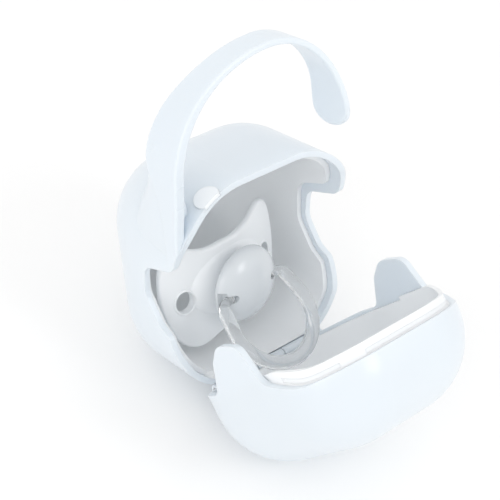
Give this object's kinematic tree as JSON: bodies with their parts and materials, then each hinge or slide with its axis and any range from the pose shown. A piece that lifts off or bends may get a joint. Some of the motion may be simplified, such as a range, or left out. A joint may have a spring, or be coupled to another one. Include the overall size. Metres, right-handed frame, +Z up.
{
  "type": "pacifier case",
  "caption": "Rounded clamshell pacifier case with a hinged front lid and an open hook handle, holding a pacifier with a swinging ring.",
  "frame": {"origin": "centre of the footprint at floor level, with the lid open", "axes": "+X to the case's right as seen from its open front, +Y to the back, +Z up; the hinge runs along X"},
  "size_m": [0.06, 0.1016, 0.1035],
  "materials": {
    "pale_blue_plastic": "satin to glossy moulded plastic, very pale blue",
    "white_liner_plastic": "smooth white moulded plastic",
    "light_plastic": "smooth white moulded plastic",
    "steel_pin": "drawn steel wire",
    "matte_shield_plastic": "matte white moulded plastic",
    "knob_plastic": "glossy white moulded plastic",
    "clear_silicone": "soft translucent silicone",
    "clear_plastic": "clear glossy plastic"
  },
  "bodies": {
    "case_body": {"body_shell": "pale_blue_plastic", "body_liner": "white_liner_plastic", "visor_disc": "light_plastic", "hinge_pin": "steel_pin"},
    "lid": {"lid_shell": "pale_blue_plastic", "lid_liner": "white_liner_plastic"},
    "pacifier": {"pacifier_shield": "matte_shield_plastic", "pacifier_knob": "knob_plastic", "pacifier_plug": "knob_plastic", "pacifier_teat": "clear_silicone"},
    "ring": {"pacifier_ring": "clear_plastic"}
  },
  "joints": [
    {"name": "lid_hinge", "type": "hinge", "parent": "case_body", "child": "lid", "pos_m": [0, -0.00075, 0.00804], "axis": [-1, 0, 0], "range_deg": [0, 51.6]},
    {"name": "pacifier_play", "type": "slide", "parent": "case_body", "child": "pacifier", "axis": [0, -0.6611, 0.7503], "range_m": [0, 0.0025]},
    {"name": "ring_pivot", "type": "hinge", "parent": "pacifier", "child": "ring", "pos_m": [-0.00134, 0.01048, 0.03022], "axis": [-0.9939, -0.1101, 0.0003], "range_deg": [-10, 120]}
  ]
}
